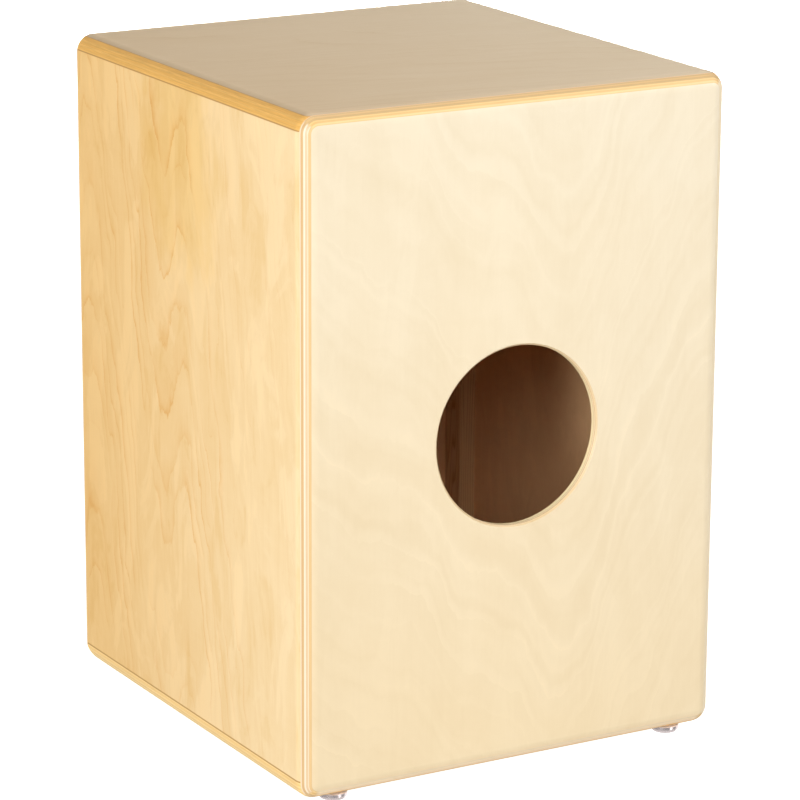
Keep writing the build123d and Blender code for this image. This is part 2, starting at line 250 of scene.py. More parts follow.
def fibres(g, u, v, seed):
    """Fine streaks along the grain, and short pores. All 0..1."""
    streak = g.noise(g.vec(g.mul(u, 0.55), g.mul(v, 0.010), seed), 1.0, 3.0, 0.6)
    streak2 = g.noise(g.vec(g.mul(u, 2.6), g.mul(v, 0.05), seed + 5.0), 1.0, 3.0, 0.6)
    pore = g.noise(g.vec(g.mul(u, 6.5), g.mul(v, 0.40), seed + 9.0), 1.0, 1.0, 0.5)
    pore = g.rng(pore, 0.66, 0.78)
    return streak, streak2, pore


def ply_ramp(g, dn, plies, thickness, glue):
    """Colour by depth: plies is [(depth mm, colour)], each running on to the next, with a thin glue line between."""
    stops = []
    for i, (pos, col) in enumerate(plies):
        p = pos / thickness
        if i:
            stops.append((p - 0.07 / thickness, plies[i - 1][1]))
            stops.append((p, tuple(c * k for c, k in zip(plies[i - 1][1], glue))))
            stops.append((p + 0.09 / thickness, col))
        else:
            stops.append((0.0, col))
    return g.ramp(dn, stops)


def plywood(name, depth, thickness, u, v, plies, face_a, face_b, blend, fig, seed, face_t, plies_b=None, b_axis=None,
            line_amt=0.10, shade_amt=0.05, band_amt=0.05, mottle_amt=0.05, streak_amt=0.05, inner_col=None, rough=0.42,
            light_lines=False, seams=None, edge_run=None, line_tint=(0.97, 0.86, 0.66), fade=None, patch_amt=0.0,
            line_mix=0.0, edge_amt=0.20, plies_low=None, skin=None, plies_hole=None, plies_right=None):
    """A panel of plywood whose plies show wherever its rounded edges cut through them.
    depth, u and v are functions of the position sockets, in mm. The face colour drifts from face_a to face_b by
    blend(g, P) (0..1), on the sides as painted shade, darker towards the front. plies is [(depth mm, colour)];
    plies_b is what shows where the edge faces along b_axis, because end grain and long grain change places round a
    corner."""
    g = Graph(name)
    P = g.position()
    t = g.nt.nodes.new("ShaderNodeTexCoord")
    sep = g.nt.nodes.new("ShaderNodeSeparateXYZ")
    g.nt.links.new(t.outputs["Normal"], sep.inputs[0])
    N = [g.math("ABSOLUTE", sep.outputs[i]) for i in range(3)]
    d = depth(g, P)
    uu, vv = u(g, P), v(g, P)
    line, band, shade = figure(g, uu, vv, seed=seed, **fig)
    streak, streak2, pore = fibres(g, uu, vv, seed)
    mott = g.noise(g.vec(g.mul(uu, 0.026), g.mul(vv, 0.010), seed + 21.0), 1.0, 4.0, 0.6, 0.4)
    curl = g.noise(g.vec(g.mul(uu, 0.05), g.mul(vv, 0.11), seed + 27.0), 1.0, 2.0, 0.5, 0.6)
    # strength of ring lines wanders over the sheet
    amt = g.rng(g.noise(g.vec(g.mul(uu, 0.026), g.mul(vv, 0.012), seed + 13.0), 1.0, 3.0), 0.38, 0.60, 0.10, 1.0)
    if fade is not None:
        amt = g.mul(amt, g.curve(g.mul(uu, 1.0 / 308.0), fade))
    # light, ragged-topped patches where the knife cut through the crest of a ring
    pa = g.noise(g.vec(g.mul(uu, 0.032), g.mul(vv, 0.010), seed + 33.0), 1.0, 5.0, 0.62, 0.9)
    patch = g.rng(pa, 0.50, 0.60, 0.0, 1.0, smooth=True)
    patch_lo = g.rng(pa, 0.44, 0.36, 0.0, 1.0, smooth=True)
    sgn = 1.0 if light_lines else -1.0
    lum = g.mad(g.sub(band, 0.5), band_amt * 2, 1.0)
    lum = g.mad(g.sub(mott, 0.5), mottle_amt * 2, lum)
    lum = g.mad(g.sub(curl, 0.5), mottle_amt * 0.5, lum)
    lum = g.mad(g.sub(streak, 0.5), streak_amt * 2, lum)
    lum = g.mad(g.sub(streak2, 0.5), streak_amt * 1.1, lum)
    lum = g.mad(pore, -0.035, lum)
    if patch_amt:
        lum = g.mad(patch, patch_amt, lum)
        lum = g.mad(patch_lo, -0.7 * patch_amt, lum)
    ln = g.mul(line, amt)
    sh = g.mul(shade, amt)
    lum = g.mad(ln, sgn * line_amt, lum)
    lum = g.mad(sh, sgn * shade_amt, lum)
    face = g.mix(blend(g, P), face_a, face_b)
    # darker parts of the figure are also warmer
    tint = g.rng(lum, 0.86, 1.02, 1.0, 0.0)
    warm = g.nt.nodes.new("ShaderNodeVectorMath")
    warm.operation = "MULTIPLY"
    g.nt.links.new(face, warm.inputs[0])
    warm.inputs[1].default_value = line_tint
    face = g.mix(tint, face, warm.outputs[0])
    face = g.scale_color(face, lum)
    if line_mix:
        orange = g.nt.nodes.new("ShaderNodeVectorMath")
        orange.operation = "MULTIPLY"
        g.nt.links.new(face, orange.inputs[0])
        orange.inputs[1].default_value = (0.88, 0.66, 0.36)
        face = g.mix(g.mul(g.math("ADD", ln, g.mul(sh, 0.40), clamp=True), line_mix), face, orange.outputs[0])
    if skin is not None:
        face = skin(g, d, uu, vv, face)

    # plies by depth
    dn = g.mul(d, 1.0 / thickness)
    ply = ply_ramp(g, dn, plies, thickness, (0.86, 0.76, 0.62))
    # painted light: on the far upright edge the plies take a paler copy, lifting the shade there
    if plies_right is not None:
        ply = g.mix(g.rng(P[0], -137.0, -139.0, 0.0, 1.0), ply, ply_ramp(g, dn, plies_right, thickness, (0.92, 0.86, 0.78)))
    if plies_b is not None:
        other = g.math("ADD", g.math("ADD", N[0], N[1]), N[2])
        run = [i for i in range(3) if i != b_axis[0] and i != b_axis[1]][0]
        ratio = g.math("DIVIDE", N[b_axis[0]], g.math("MAXIMUM", g.add(N[b_axis[0]], N[run]), 0.001))
        ply = g.mix(g.rng(ratio, 0.42, 0.58, smooth=True), ply,
                    ply_ramp(g, dn, plies_b, thickness, (0.86, 0.76, 0.62)))
    # painted light: along the bottom round the plies take brighter colours, standing in for light bounced up from below
    if plies_low is not None:
        low = g.mul(g.rng(P[2], Z_BOT + 9.0, Z_BOT + 12.0, 1.0, 0.0, smooth=True),
                    g.rng(g.math("ABSOLUTE", P[0]), 137.5, 141.5, 1.0, 0.0, smooth=True))
        ply = g.mix(low, ply,
                    ply_ramp(g, dn, plies_low, thickness, (0.99, 0.97, 0.94)))
    # painted light: round the hole the plies take brighter colours, lifting the wall out of its shade
    if plies_hole is not None:
        dz = g.sub(P[2], HOLE_Z)
        rad = g.math("SQRT", g.mad(P[0], P[0], g.mul(dz, dz)))
        ply = g.mix(g.rng(rad, 60.0, 62.0, 1.0, 0.0), ply, ply_ramp(g, dn, plies_hole, thickness, (0.93, 0.84, 0.70)))
    er = edge_run or (0.05, 0.05, 0.05)
    es = g.noise(g.vec(g.mul(P[0], er[0]), g.mul(P[1], er[1]), g.mul(P[2], er[2])), 1.0, 4.0, 0.65)
    es2 = g.noise(g.vec(g.mul(P[0], er[0] * 3.1), g.mul(P[1], er[1] * 3.1), g.mul(P[2], er[2] * 3.1)), 1.0, 2.0, 0.6)
    ply = g.scale_color(ply, g.mad(g.sub(es2, 0.5), 0.6 * edge_amt, g.mad(g.sub(es, 0.5), edge_amt, 1.0)))
    is_face = g.rng(d, face_t - 0.10, face_t + 0.02, 1.0, 0.0)
    col = g.mix(is_face, ply, face)
    if inner_col is not None:
        inner = g.scale_color(g.mix(tint, inner_col, tuple(c * f for c, f in zip(inner_col, (1.0, 0.92, 0.8)))), lum)
        is_inner = g.rng(d, thickness - 0.35, thickness - 0.15, 0.0, 1.0)
        col = g.mix(is_inner, col, inner)
    if seams is not None:
        col = seams(g, P, col)
    r = g.mad(g.sub(streak2, 0.5), 0.10, rough)
    r = g.mad(pore, 0.08, r)
    r = g.mad(g.sub(mott, 0.5), 0.05, r)
    height = g.mad(streak, 0.5, g.mad(streak2, 0.35, g.mul(pore, -0.8)))
    height = g.mad(ln, -0.25, height)
    g.bump(height, 0.00003, 0.6)
    return g.set(Base_Color=col, Roughness=r, Specular_IOR_Level=0.42, IOR=1.48)


def darken_band(g, col, coord, at, half, tint):
    """Darker, tinted line centred on coord == at."""
    dist = g.math("ABSOLUTE", g.sub(coord, at))
    m = g.rng(dist, half * 0.45, half, 1.0, 0.0)
    return g.mix(m, col, tint)


# colours: L is long grain, D is end grain
SIDE_PLY_L, SIDE_PLY_D = (0.80, 0.62, 0.37), (0.66, 0.44, 0.20)
INNER = (0.93, 0.58, 0.30)


def even_plies(n, t, L, D):
    return [(i * t / n, L if i % 2 == 0 else D) for i in range(n)]


# rear panel: on its upright edges the face, middle and back plies show long grain, on the level ones end grain
rear_upright = [(0.0, (0.74, 0.58, 0.37)), (0.90, (0.70, 0.475, 0.225)), (1.57, (0.77, 0.60, 0.40)),
                (2.10, (0.68, 0.485, 0.29)), (2.80, (0.79, 0.65, 0.47)), (3.72, (0.61, 0.39, 0.185)),
                (5.05, (0.77, 0.62, 0.43))]
rear_level = [(0.0, (0.82, 0.66, 0.42)), (0.40, (0.77, 0.54, 0.25)), (0.90, (0.79, 0.56, 0.26)),
              (1.57, (0.73, 0.46, 0.17)), (2.10, (0.80, 0.54, 0.235)), (2.80, (0.60, 0.40, 0.185)),
              (3.72, (0.70, 0.47, 0.22)), (5.05, (0.60, 0.42, 0.22))]

# plies on the far upright edge: a paler copy as painted light, lifting the shade along that edge, keeping one real
# amber ply near the back
rear_right = [(0.0, (0.79, 0.65, 0.44)), (0.90, (0.82, 0.68, 0.46)), (2.10, (0.85, 0.70, 0.47)),
              (2.80, (0.84, 0.64, 0.38)), (3.72, (0.80, 0.54, 0.26)), (5.05, (0.88, 0.68, 0.42))]
# plies along the bottom round: their real amber banding, painted brighter than the other plies as painted light
# standing in for light bounced up from below
rear_low_plies_painted_bright = [(0.0, (0.80, 0.645, 0.43)), (1.20, (0.92, 0.71, 0.46)), (2.30, (0.96, 0.73, 0.45)),
            (3.10, (0.93, 0.58, 0.235)), (4.4, (0.95, 0.60, 0.24))]
# plies in the sound-hole wall: their real banding, painted brighter and more yellow as painted light, lifting the shade
# inside the bore
rear_hole_plies_painted_bright = [(0.0, (0.75, 0.565, 0.34)), (1.12, (0.66, 0.40, 0.17)), (1.48, (0.98, 0.80, 0.51)),
             (2.80, (0.78, 0.52, 0.27)), (3.15, (0.99, 0.82, 0.49)), (4.90, (0.98, 0.77, 0.43))]
HOLE_Z = Z_BOT + 213.5

rear_fig = dict(profile=[(0, 50), (40, 84), (80, 104), (112, 150), (145, 168), (168, 205), (183, 217), (196, 206),
                         (213, 166), (230, 112), (250, 82), (275, 30), (300, 0)], ring_mm=17.0, jag=0.16, wander=0.7,
                warp_mm=9.0, ripple=13.0)
side_fig = dict(profile=[(0, 30), (18, 0), (45, 95), (75, 235), (105, 380), (128, 425), (150, 395), (172, 470),
                         (200, 600), (235, 770), (270, 980), (308, 1230)], ring_mm=42.0, jag=0.19, wander=1.1,
                warp_mm=18.0, ripple=9.0)
seat_fig = dict(profile=[(0, 0), (60, 120), (120, 180), (170, 420), (230, 560), (308, 900)], ring_mm=60.0, jag=0.14,
                wander=0.9, ripple=10.0)
side_fade = [(0.0, 0.9), (0.15, 1.0), (0.55, 0.95), (0.72, 0.55), (1.0, 0.35)]


def rear_blend(g, P):
    # deeper and more saturated lower down and towards the near (+x) edge, paler higher up
    n = g.noise(g.vec(g.mul(P[0], 0.008), 0.0, g.mul(P[2], 0.008)), 1.0, 2.0)
    k = g.mad(P[0], -0.0009, g.mul(P[2], 0.0022))
    return g.rng(g.mad(g.sub(n, 0.5), 0.35, k), 0.05, 0.95, 0.0, 1.0)


def side_tone_and_painted_shade(g, P):
    # painted shade: the side face drifts darker and more orange towards the front, standing in for the light falling
    # off there; the noise adds uneven veneer tone
    n = g.noise(g.vec(0.0, g.mul(P[1], 0.011), g.mul(P[2], 0.006)), 1.0, 2.0)
    return g.rng(g.mad(g.sub(n, 0.5), 60.0, P[1]), -150.0, 150.0, 0.0, 1.0)


def seat_blend(g, P):
    n = g.noise(g.vec(g.mul(P[0], 0.006), g.mul(P[1], 0.011), 0.0), 1.0, 2.0)
    return g.rng(g.mad(g.sub(n, 0.5), 70.0, g.mul(P[0], -1.0)), -150.0, 150.0, 0.0, 1.0)


def seat_round_painted_shade_and_glue_line(g, d, u, v, face):
    """Painted shade: the face veneer is painted darker over the round, where the side light would brighten it, and it
    ends in a ragged glue line.
    """
    face = g.scale_color(face, g.ramp(g.mul(d, 0.8), [(0.0, (1, 1, 1)), (0.04, (0.94,) * 3), (0.18, (0.86,) * 3),
                                                    (0.50, (0.78,) * 3), (0.96, (0.72,) * 3)]))
    rag = g.noise(g.vec(g.mul(u, 0.30), g.mul(v, 0.30), 3.0), 1.0, 4.0, 0.7)
    m = g.rng(g.mad(g.sub(rag, 0.5), 0.55, d), 1.02, 1.22, 0.0, 0.85)
    return g.mix(m, face, (0.47, 0.23, 0.085))


def times(g, col, by):
    n = g.nt.nodes.new("ShaderNodeVectorMath")
    n.operation = "MULTIPLY"
    g.nt.links.new(col, n.inputs[0])
    n.inputs[1].default_value = by
    return n.outputs[0]


def rear_edge_tones_and_painted_light(g, d, u, v, face):
    """The thin edge of the face veneer: amber round the hole. The face is a little darker towards the near upright
    edge. Painted light: the far upright round and the bottom round are painted paler, where the light falls off.
    """
    face = g.scale_color(face, g.rng(u, 0.0, 120.0, 0.958, 1.0))
    a, b = g.sub(150.0, u), g.sub(v, HOLE_Z)
    near = g.rng(g.math("SQRT", g.mad(a, a, g.mul(b, b))), 59.4, 60.4, 1.0, 0.0)
    face = g.mix(g.mul(near, g.rng(d, 0.03, 0.22, 0.0, 1.0)), face, times(g, face, (0.92, 0.81, 0.66)))
    # painted light: the far upright round is painted paler, lifting its shade
    face = g.mix(g.mul(g.rng(u, 287.0, 289.0), g.rng(d, 0.05, 0.80, 0.0, 1.0)), face, times(g, face, (1.08, 1.08, 1.10)))
    # painted light: the bottom round is painted paler, standing in for light bounced up from below
    low = g.mul(g.rng(v, Z_BOT + 9.0, Z_BOT + 12.0, 1.0, 0.0, smooth=True),
                g.rng(g.math("ABSOLUTE", a), 137.5, 141.5, 1.0, 0.0, smooth=True))
    return g.mix(g.mul(low, g.rng(d, 0.10, 0.80, 0.0, 1.0)), face, times(g, face, (1.10, 1.05, 1.02)))


def side_round_painted_shade(g, d, u, v, face):
    # painted shade: the face is darkened where the rounded edges curve away, where the side light would brighten it
    return g.scale_color(face, g.rng(d, 0.02, 0.9, 1.0, 0.88))


def side_skin_left(g, d, u, v, face):
    """An amber cloud in the veneer near the top of the left side, then the painted shade over the rounds."""
    a, b = g.mul(g.sub(u, 148.0), 1.0 / 62.0), g.mul(g.sub(v, Z_TOP - 58.0), 1.0 / 78.0)
    n = g.noise(g.vec(g.mul(u, 0.045), g.mul(v, 0.018), 91.0), 1.0, 4.0, 0.6)
    r2 = g.mad(g.sub(n, 0.5), 2.2, g.mad(a, a, g.mul(b, b)))
    warm = g.nt.nodes.new("ShaderNodeVectorMath")
    warm.operation = "MULTIPLY"
    g.nt.links.new(face, warm.inputs[0])
    warm.inputs[1].default_value = (0.955, 0.905, 0.74)
    return side_round_painted_shade(g, d, u, v, g.mix(g.rng(r2, 0.15, 1.15, 1.0, 0.0, smooth=True), face, warm.outputs[0]))


def side_seams(g, P, col):
    col = darken_band(g, col, P[2], Z_TOP - SEAT_T, 0.75, (0.49, 0.26, 0.075))
    return darken_band(g, col, P[2], Z_BOT + BASE_T, 0.85, (0.50, 0.27, 0.075))


def seat_seams(g, P, col):
    return darken_band(g, col, P[2], Z_TOP - SEAT_T, 0.35, (0.52, 0.29, 0.09))


def base_seams(g, P, col):
    return darken_band(g, col, P[2], Z_BOT + BASE_T, 0.45, (0.50, 0.27, 0.075))


U_X = lambda g, P: g.sub(150.0, P[0])
U_Y = lambda g, P: g.add(P[1], 154.0)
V_Z = lambda g, P: P[2]
V_X = lambda g, P: P[0]

m_rear = plywood("rear_birch", lambda g, P: g.sub(Y_REAR, P[1]), REAR_T, U_X, V_Z, rear_upright,
                 (0.768, 0.617, 0.392), (0.770, 0.672, 0.503), rear_blend, rear_fig, 4.0, 0.85,
                 plies_b=rear_level, b_axis=(2, 1), plies_low=rear_low_plies_painted_bright, plies_hole=rear_hole_plies_painted_bright, plies_right=rear_right, line_amt=0.010, shade_amt=0.026, band_amt=0.031,
                 mottle_amt=0.036,
                 streak_amt=0.012, inner_col=INNER, light_lines=True, edge_run=(0.05, 1.6, 0.03),
                 line_tint=(1.0, 0.94, 0.82), patch_amt=0.012, skin=rear_edge_tones_and_painted_light)
SIDE_LOOK = dict(line_amt=0.020, shade_amt=0.010, band_amt=0.030, mottle_amt=0.048, streak_amt=0.024, line_mix=0.70,
                 inner_col=INNER, seams=side_seams, edge_run=(1.6, 0.05, 0.03), line_tint=(1.0, 0.86, 0.55),
                 fade=side_fade, patch_amt=0.048, skin=side_round_painted_shade)
m_side_l = plywood("side_birch_left", lambda g, P: g.sub(X_FACE, P[0]), SIDE_T, U_Y, V_Z,
                   even_plies(7, SIDE_T, SIDE_PLY_L, SIDE_PLY_D), (0.83, 0.545, 0.225), (0.88, 0.672, 0.39), side_tone_and_painted_shade,
                   side_fig, 11.0, 1.25, **{**SIDE_LOOK, "skin": side_skin_left})
m_side_r = plywood("side_birch_right", lambda g, P: g.add(P[0], X_FACE), SIDE_T, U_Y, V_Z,
                   even_plies(7, SIDE_T, SIDE_PLY_L, SIDE_PLY_D), (0.84, 0.58, 0.27), (0.87, 0.66, 0.37), side_tone_and_painted_shade,
                   side_fig, 37.0, 1.25, **SIDE_LOOK)
m_seat = plywood("seat_birch", lambda g, P: g.sub(Z_TOP, P[2]), SEAT_T, U_Y, V_X,
                 even_plies(7, SEAT_T, (0.80, 0.462, 0.134), (0.765, 0.428, 0.112)), (0.80, 0.615, 0.40),
                 (0.86, 0.705, 0.505), seat_blend, seat_fig, 23.0, 1.33, line_amt=0.040, shade_amt=0.02, band_amt=0.015,
                 mottle_amt=0.028, streak_amt=0.035, inner_col=INNER, seams=seat_seams, edge_run=(0.45, 0.035, 1.6), edge_amt=0.62,
                 skin=seat_round_painted_shade_and_glue_line)
m_base = plywood("base_birch", lambda g, P: g.sub(P[2], Z_BOT), BASE_T, U_Y, V_X,
                 even_plies(9, BASE_T, (0.93, 0.65, 0.28), (0.88, 0.585, 0.22)), (0.80, 0.63, 0.38), (0.82, 0.66, 0.42),
                 seat_blend, seat_fig, 51.0, 1.3, line_amt=0.06, shade_amt=0.03, band_amt=0.03, mottle_amt=0.04,
                 streak_amt=0.03, inner_col=INNER, seams=base_seams, edge_run=(0.45, 0.035, 1.6), edge_amt=0.45)
m_tapa = plywood("tapa_birch", lambda g, P: g.sub(P[1], Y_FRONT), TAPA_T, lambda g, P: g.add(P[0], 150.0), V_Z,
                 even_plies(3, TAPA_T, SIDE_PLY_L, SIDE_PLY_D), (0.84, 0.62, 0.34), (0.85, 0.68, 0.43), rear_blend,
                 side_fig, 71.0, 1.0, line_amt=0.02, shade_amt=0.01, band_amt=0.03, mottle_amt=0.045, streak_amt=0.02, line_mix=0.55,
                 inner_col=INNER, edge_run=(0.05, 1.6, 0.03), line_tint=(0.98, 0.84, 0.60), patch_amt=0.025)


def softwood(name, u, v, w, col, seed):
    """Planed batten with straight growth rings."""
    g = Graph(name)
    P = g.position()
    a, b, c = u(P), v(P), w(P)
    r = g.noise(g.vec(g.mul(a, 0.05), g.mul(b, 0.004), g.mul(c, 0.05)), 1.0, 2.0)
    ring = g.math("FRACT", g.mad(r, 9.0, g.mul(g.add(a, g.mul(c, 0.4)), 0.45)))
    late = g.ramp(ring, [(0.0, 0.0), (0.6, 0.15), (0.9, 0.9), (1.0, 0.0)])
    st = g.noise(g.vec(g.mul(a, 2.5), g.mul(b, 0.03), g.mul(c, 2.5)), 1.0, 3.0, 0.6)
    lum = g.mad(late, -0.16, g.mad(g.sub(st, 0.5), 0.16, 1.0))
    base = g.mix(late, col, tuple(x * f for x, f in zip(col, (0.95, 0.80, 0.62))))
    g.bump(g.mad(st, 0.6, g.mul(late, 0.3)), 0.00006, 0.7)
    return g.set(Base_Color=g.scale_color(base, lum), Roughness=g.rng(st, 0.3, 0.7, 0.62, 0.74),
                 Specular_IOR_Level=0.22)


m_batten_v = softwood("batten_upright", lambda P: P[0], lambda P: P[2], lambda P: P[1], (0.80, 0.52, 0.26), 1.0)
m_batten_h = softwood("batten_cross", lambda P: P[2], lambda P: P[0], lambda P: P[1], (0.80, 0.52, 0.26), 2.0)
m_bar = softwood("bar_beech", lambda P: P[2], lambda P: P[0], lambda P: P[1], (0.66, 0.45, 0.28), 3.0)


def metal(name, col, rough, bump_mm=0.00002, scale=1.6, vary=0.10, dark=0.12, dull_top=None):
    g = Graph(name)
    P = g.position()
    v = g.vec(P[0], P[1], P[2])
    n1 = g.noise(v, 0.35 * scale, 3.0, 0.6)
    n2 = g.noise(v, 3.0 * scale, 2.0, 0.6)
    lum = g.mad(g.sub(n1, 0.5), dark, 1.0)
    c = g.scale_color(g.mix(n1, col, tuple(x * f for x, f in zip(col, (1.0, 0.97, 0.94)))), lum)
    g.bump(n2, bump_mm, 0.5)
    r = g.rng(n2, 0.25, 0.75, rough - vary * 0.5, rough + vary * 0.5)
    if dull_top is not None:
        # the pressed upper face is matt, unlike the polished wall
        r = g.add(r, g.rng(P[2], dull_top - 0.25, dull_top - 0.05, 0.0, 0.45))
        c = g.mix(g.rng(P[2], dull_top - 0.25, dull_top - 0.05, 0.0, 0.75), c, (0.95, 0.93, 0.94))
    return g.set(Base_Color=c, Metallic=1.0, Roughness=r)


m_nickel = metal("nickel_plate", (0.86, 0.765, 0.77), 0.26, dull_top=Z_BOT)
m_brass = metal("brass_plate", (0.80, 0.60, 0.28), 0.30)
m_snare = metal("snare_wire_steel", (0.78, 0.78, 0.80), 0.24, scale=4.0)
m_zinc = metal("zinc_screw", (0.62, 0.63, 0.66), 0.34)
m_black = metal("black_screw", (0.045, 0.045, 0.05), 0.42, dark=0.3)


def felt(name, col):
    g = Graph(name)
    P = g.position()
    v = g.vec(P[0], P[1], P[2])
    n = g.noise(v, 2.2, 4.0, 0.7)
    n2 = g.noise(v, 9.0, 2.0, 0.7)
    g.bump(g.mad(n, 0.6, n2), 0.0002, 0.8)
    return g.set(Base_Color=g.scale_color(g.mix(n, col, tuple(1.8 * c for c in col)), g.rng(n2, 0.2, 0.8, 0.7, 1.2)),
                 Roughness=g.rng(n2, 0.2, 0.8, 0.9, 1.0))


m_felt = felt("felt_grey", (0.05, 0.05, 0.052))

MATERIAL = {
    "rear_panel": m_rear, "left_side_panel": m_side_l, "right_side_panel": m_side_r, "seat_panel": m_seat,
    "base_panel": m_base, "tapa": m_tapa, "batten_front_left": m_batten_v, "batten_front_right": m_batten_v,
    "batten_front_top": m_batten_h, "batten_front_bottom": m_batten_h, "tapa_screws": m_black,
    "glide_front_left": m_nickel, "glide_front_right": m_nickel, "glide_rear_left": m_nickel,
    "glide_rear_right": m_nickel, "snare_bar": m_bar, "snare_plate_left": m_brass, "snare_plate_right": m_brass,
    "snare_screws": m_zinc, "felt_washer_left": m_felt, "felt_washer_right": m_felt,
}
for node, mat in MATERIAL.items():
    o = NODES[node]
    if not o.material_slots:
        o.data.materials.append(mat)
    for s in o.material_slots:
        s.material = mat

# ---------------------------------------------------------------- snare wires: real spring coils
BAR = Vector((0.0, Y_FRONT / 1000 + 0.003 + 0.011, Z_BOT / 1000 + 0.283))
LEAN = math.radians(1.0)
COIL_R, WIRE_R = 0.00130, 0.00036
COIL_Y = -(0.005 + 0.001 + COIL_R)
COIL_Z0, COIL_Z1, COIL_PITCH, COIL_COUNT = 0.0006, 0.1120, 0.0042, 10


def coil_mesh(name, x_mid, phase0):
    """Ten springs side by side: each is a wire helix, open wound, capped at both ends."""
    bm = bmesh.new()
    rot = Matrix.Rotation(LEAN, 4, "X")
    rng = random.Random(5)
    seg = 7
    turn_pitch = 0.00175
    for k in range(COIL_COUNT):
        xc = x_mid + COIL_PITCH * (k - (COIL_COUNT - 1) / 2)
        z0, z1 = COIL_Z0 + WIRE_R, COIL_Z1 - WIRE_R - rng.uniform(0.0, 0.0006)
        turns = (z1 - z0) / turn_pitch
        n = int(turns * 14)
        ph = phase0 + rng.uniform(0, 6.28)
        rows = []
        for i in range(n + 1):
            t = i / n
            a = ph + 2 * math.pi * turns * t
            r = COIL_R - WIRE_R
            p = Vector((r * math.cos(a), r * math.sin(a), z0 + (z1 - z0) * t))
            tan = Vector((-r * math.sin(a) * 2 * math.pi * turns, r * math.cos(a) * 2 * math.pi * turns, z1 - z0)).normalized()
            nrm = Vector((math.cos(a), math.sin(a), 0))
            bi = tan.cross(nrm).normalized()
            ring = []
            for j in range(seg):
                b = 2 * math.pi * j / seg
                q = p + WIRE_R * (math.cos(b) * nrm + math.sin(b) * bi)
                q = Vector((q.x + xc, q.y + COIL_Y, q.z))
                ring.append(bm.verts.new(rot @ q + BAR))
            rows.append(ring)
        for i in range(n):
            for j in range(seg):
                bm.faces.new((rows[i][j], rows[i][(j + 1) % seg], rows[i + 1][(j + 1) % seg], rows[i + 1][j]))
        bm.faces.new(list(reversed(rows[0])))
        bm.faces.new(rows[-1])
    bmesh.ops.recalc_face_normals(bm, faces=bm.faces[:])
    me = bpy.data.meshes.new(name)
    bm.to_mesh(me)
    bm.free()
    for p in me.polygons:
        p.use_smooth = True
    o = bpy.data.objects.new(name, me)
    bpy.context.scene.collection.objects.link(o)
    o.data.materials.append(m_snare)
    return o


for side, x in (("left", 0.062), ("right", -0.062)):
    o = coil_mesh("snare_coils_" + side, x, 0.3 if side == "left" else 1.7)
    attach(o, "snare_unit")
    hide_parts("snare_wires_" + side)

# ---------------------------------------------------------------- stage
floor_me = bpy.data.meshes.new("floor")
floor_me.from_pydata([(-12, -12, 0), (12, -12, 0), (12, 12, 0), (-12, 12, 0)], [], [(0, 1, 2, 3)])
floor = bpy.data.objects.new("floor", floor_me)
bpy.context.scene.collection.objects.link(floor)
gf = Graph("floor_white")
gf.set(Base_Color=(0.5, 0.5, 0.5), Roughness=0.9, Specular_IOR_Level=0.1,
       Emission_Color=(1.0, 1.0, 1.0), Emission_Strength=0.90)
floor.data.materials.append(gf.mat)
# a white sweep: it fills the background and takes a faint shadow, and the soft boxes alone light the object
floor.visible_diffuse = False
floor.visible_glossy = False
floor.visible_shadow = False

world = bpy.data.worlds.new("studio")
bpy.context.scene.world = world
world.use_nodes = True
wn = world.node_tree
wn.nodes.clear()
W_UP, W_LOW, W_DOWN, W_STRIP, W_BACK, W_RIGHT = 0.26, 0.10, 0.82, 3.4, 0.9, 1.0
w_out = wn.nodes.new("ShaderNodeOutputWorld")
w_tc = wn.nodes.new("ShaderNodeTexCoord")
w_sep = wn.nodes.new("ShaderNodeSeparateXYZ")
wn.links.new(w_tc.outputs["Generated"], w_sep.inputs[0])
w_ramp = wn.nodes.new("ShaderNodeMapRange")
w_ramp.inputs["From Min"].default_value = -0.10
w_ramp.inputs["From Max"].default_value = 0.10
w_ramp.inputs["To Min"].default_value = W_LOW
w_ramp.inputs["To Max"].default_value = W_UP
wn.links.new(w_sep.outputs[2], w_ramp.inputs["Value"])
w_card = wn.nodes.new("ShaderNodeMapRange")
w_card.interpolation_type = "SMOOTHSTEP"
w_card.inputs["From Min"].default_value = -0.05
w_card.inputs["From Max"].default_value = -0.75
w_card.inputs["To Min"].default_value = 0.0
w_card.inputs["To Max"].default_value = W_DOWN
wn.links.new(w_sep.outputs[2], w_card.inputs["Value"])
w_dot = wn.nodes.new("ShaderNodeVectorMath")
w_dot.operation = "DOT_PRODUCT"
wn.links.new(w_tc.outputs["Generated"], w_dot.inputs[0])
w_dot.inputs[1].default_value = Vector((-0.42, 0.86, -0.267)).normalized()
w_strip = wn.nodes.new("ShaderNodeMapRange")
w_strip.interpolation_type = "SMOOTHSTEP"
w_strip.inputs["From Min"].default_value = 0.978
w_strip.inputs["From Max"].default_value = 0.995
w_strip.inputs["To Min"].default_value = 0.0
w_strip.inputs["To Max"].default_value = W_STRIP
wn.links.new(w_dot.outputs["Value"], w_strip.inputs["Value"])
w_add0 = wn.nodes.new("ShaderNodeMath")
w_add0.operation = "ADD"
wn.links.new(w_ramp.outputs[0], w_add0.inputs[0])
wn.links.new(w_card.outputs[0], w_add0.inputs[1])
w_add = wn.nodes.new("ShaderNodeMath")
w_add.operation = "ADD"
wn.links.new(w_add0.outputs[0], w_add.inputs[0])
wn.links.new(w_strip.outputs[0], w_add.inputs[1])
